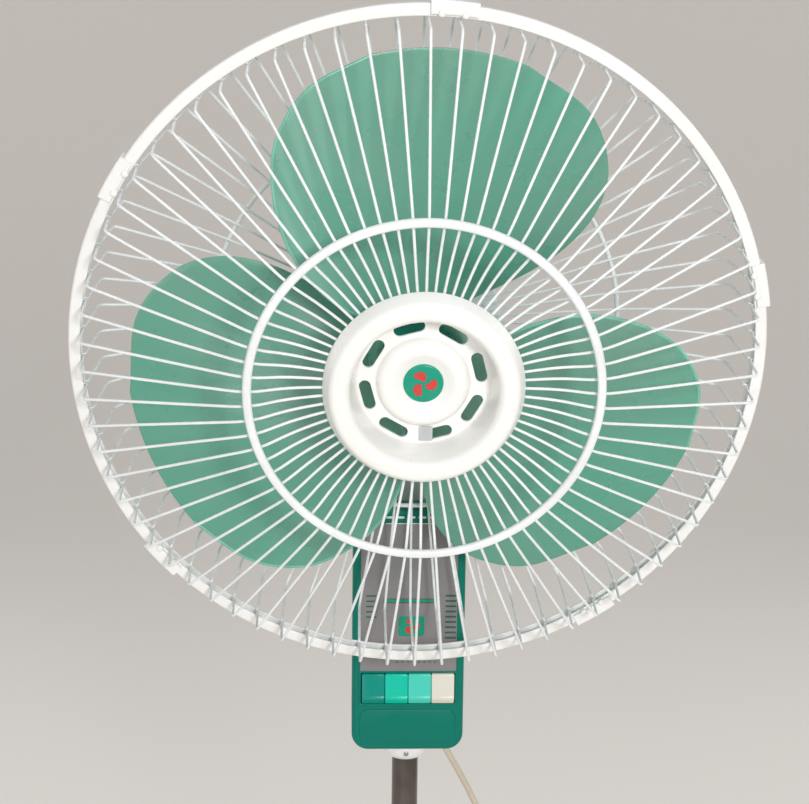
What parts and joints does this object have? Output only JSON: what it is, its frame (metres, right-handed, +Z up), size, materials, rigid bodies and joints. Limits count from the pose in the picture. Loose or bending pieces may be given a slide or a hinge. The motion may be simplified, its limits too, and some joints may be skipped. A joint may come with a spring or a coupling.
{
  "type": "pedestal fan",
  "caption": "Oscillating pedestal fan with a round wire guard, broad blades, a control box with a row of push keys, a height-adjustable pole and a round weighted base.",
  "frame": {"origin": "on the floor, on the axis of the pole, at the middle of the round base", "axes": "+Z up along the pole; the fan blows towards -Y; +X to the right as seen by someone facing the fan"},
  "size_m": [0.466, 0.6103, 1.2832],
  "materials": {
    "teal_box": "satin moulded plastic, dark teal green",
    "teal_blade": "translucent moulded plastic, sea green",
    "white_plastic": "smooth moulded plastic, white",
    "cream_plastic": "smooth moulded plastic, warm white",
    "clear_white": "milky translucent moulded plastic",
    "white_wire": "powder-coated steel wire, white",
    "panel_silver": "silver-grey printed film on plastic",
    "key_dark": "glossy plastic, dark teal",
    "key_turquoise": "glossy plastic, turquoise",
    "key_aqua": "glossy plastic, light aqua",
    "key_cream": "glossy plastic, cream",
    "emblem_green": "glossy plastic badge, green",
    "smoke_tab": "clear grey plastic",
    "chrome_tube": "bright chrome plate",
    "tube_paint": "teal powder coat on steel tube",
    "steel": "zinc-plated steel",
    "cast_metal": "die-cast aluminium, as cast",
    "neck_paint": "die-cast neck painted light grey-white",
    "iron": "cast iron, black varnish",
    "laminations": "stacked silicon-steel sheets",
    "copper": "varnished copper winding wire",
    "bronze": "oil-filled sintered bronze",
    "nylon": "natural nylon",
    "black_plastic": "black moulded plastic",
    "rubber": "black rubber",
    "cord_cream": "soft cream-beige PVC sheath"
  },
  "bodies": {
    "base": {"base_shell": "teal_box", "base_weight": "iron", "foot_ring": "rubber", "base_socket": "steel", "base_bolt": "steel", "outer_tube": "tube_paint", "tube_bush": "nylon", "mains_cord": "cord_cream", "cord_coil": "cord_cream", "mains_plug": "cord_cream"},
    "lock_ring": {"height_lock_ring": "teal_box"},
    "mast": {"inner_tube": "chrome_tube", "box_collar": "clear_white", "mast_screws": "steel", "box_front": "teal_box", "box_rear": "teal_box", "display_panel": "panel_silver", "switch_body": "black_plastic", "run_capacitor": "black_plastic", "strain_relief": "cord_cream", "neck_fork": "neck_paint", "tilt_bolt": "steel"},
    "key_off": {"key_off": "key_dark"},
    "key_low": {"key_low": "key_turquoise"},
    "key_medium": {"key_medium": "key_aqua"},
    "key_high": {"key_high": "key_cream"},
    "tilt_knob": {"tilt_knob": "black_plastic"},
    "neck": {"neck": "neck_paint", "swivel_bush": "bronze"},
    "head": {"gear_case": "cast_metal", "gear_case_cover": "cast_metal", "swivel_pin": "steel", "front_shield": "cast_metal", "motor_bushes": "bronze", "stator_core": "laminations", "stator_winding": "copper", "motor_cover_front": "teal_box", "motor_cover_rear": "teal_box", "head_screws": "steel", "rear_guard_wires": "white_wire", "rear_guard_rings": "white_wire", "guard_nut": "white_plastic", "guard_ring": "white_plastic", "guard_clips": "white_plastic", "front_guard_wires": "white_wire", "front_guard_rings": "white_wire", "hub_disc": "cream_plastic", "hub_emblem": "emblem_green", "hub_tab": "smoke_tab"},
    "rotor": {"motor_shaft": "steel", "rotor_core": "laminations", "fan_blade": "teal_blade", "blade_nut": "teal_box", "drive_pin": "steel"},
    "worm_wheel": {"worm_wheel": "nylon"},
    "drive_spindle": {"drive_spindle": "steel"},
    "clutch": {"clutch_knob": "teal_box"},
    "crank": {"crank_gear": "nylon"},
    "link": {"link_arm": "steel"}
  },
  "joints": [
    {"name": "height_slide", "type": "slide", "parent": "base", "child": "mast", "axis": [0, 0, 1], "range_m": [-0.14, 0.12], "deforming": ["mains_cord"]},
    {"name": "lock_ring_turn", "type": "hinge", "parent": "base", "child": "lock_ring", "pos_m": [0, 0, 0.52], "axis": [0, 0, 1], "range_deg": [0, 180]},
    {"name": "tilt", "type": "hinge", "parent": "mast", "child": "neck", "pos_m": [0, 0, 0.987], "axis": [1, 0, 0], "range_deg": [-22, 3]},
    {"name": "tilt_knob_turn", "type": "hinge", "parent": "mast", "child": "tilt_knob", "pos_m": [0.03, 0, 0.987], "axis": [1, 0, 0], "range_deg": [0, 270]},
    {"name": "oscillation", "type": "hinge", "parent": "neck", "child": "head", "pos_m": [0, 0, 0.987], "axis": [0, -0.2079, 0.9781], "range_deg": [-40, 40]},
    {"name": "blade_spin", "type": "hinge", "parent": "head", "child": "rotor", "pos_m": [0, -0.01975, 1.07992], "axis": [0, -0.9781, -0.2079], "continuous": true},
    {"name": "worm_wheel_turn", "type": "hinge", "parent": "head", "child": "worm_wheel", "pos_m": [0.0135, 0.02329, 1.08907], "axis": [0, -0.2079, 0.9781], "continuous": true},
    {"name": "spindle_turn", "type": "hinge", "parent": "head", "child": "drive_spindle", "pos_m": [0.0135, 0.02641, 1.0744], "axis": [0, -0.2079, 0.9781], "range_deg": [-212, 212]},
    {"name": "clutch_pull", "type": "slide", "parent": "head", "child": "clutch", "axis": [0, -0.2079, 0.9781], "range_m": [0, 0.008]},
    {"name": "crank_turn", "type": "hinge", "parent": "head", "child": "crank", "pos_m": [0, 0.02677, 1.04381], "axis": [0, -0.2079, 0.9781], "range_deg": [-82, 82]},
    {"name": "link_swing", "type": "hinge", "parent": "neck", "child": "link", "pos_m": [0.014, 0.00642, 1.02415], "axis": [0, -0.2079, 0.9781], "range_deg": [-54, 54]},
    {"name": "press_off", "type": "slide", "parent": "mast", "child": "key_off", "axis": [0, 1, 0], "range_m": [0, 0.0035], "stiffness_N_per_m": 900},
    {"name": "press_low", "type": "slide", "parent": "mast", "child": "key_low", "axis": [0, 1, 0], "range_m": [0, 0.0035], "stiffness_N_per_m": 900},
    {"name": "press_medium", "type": "slide", "parent": "mast", "child": "key_medium", "axis": [0, 1, 0], "range_m": [0, 0.0035], "stiffness_N_per_m": 900},
    {"name": "press_high", "type": "slide", "parent": "mast", "child": "key_high", "axis": [0, 1, 0], "range_m": [0, 0.0035], "stiffness_N_per_m": 900}
  ],
  "couplings": [
    {"joint": "worm_wheel_turn", "follows": "blade_spin", "ratio": -0.041667},
    {"joint": "crank_turn", "follows": "oscillation", "ratio": -2},
    {"joint": "spindle_turn", "follows": "oscillation", "ratio": 5.25},
    {"joint": "link_swing", "follows": "oscillation", "ratio": 1.3}
  ]
}
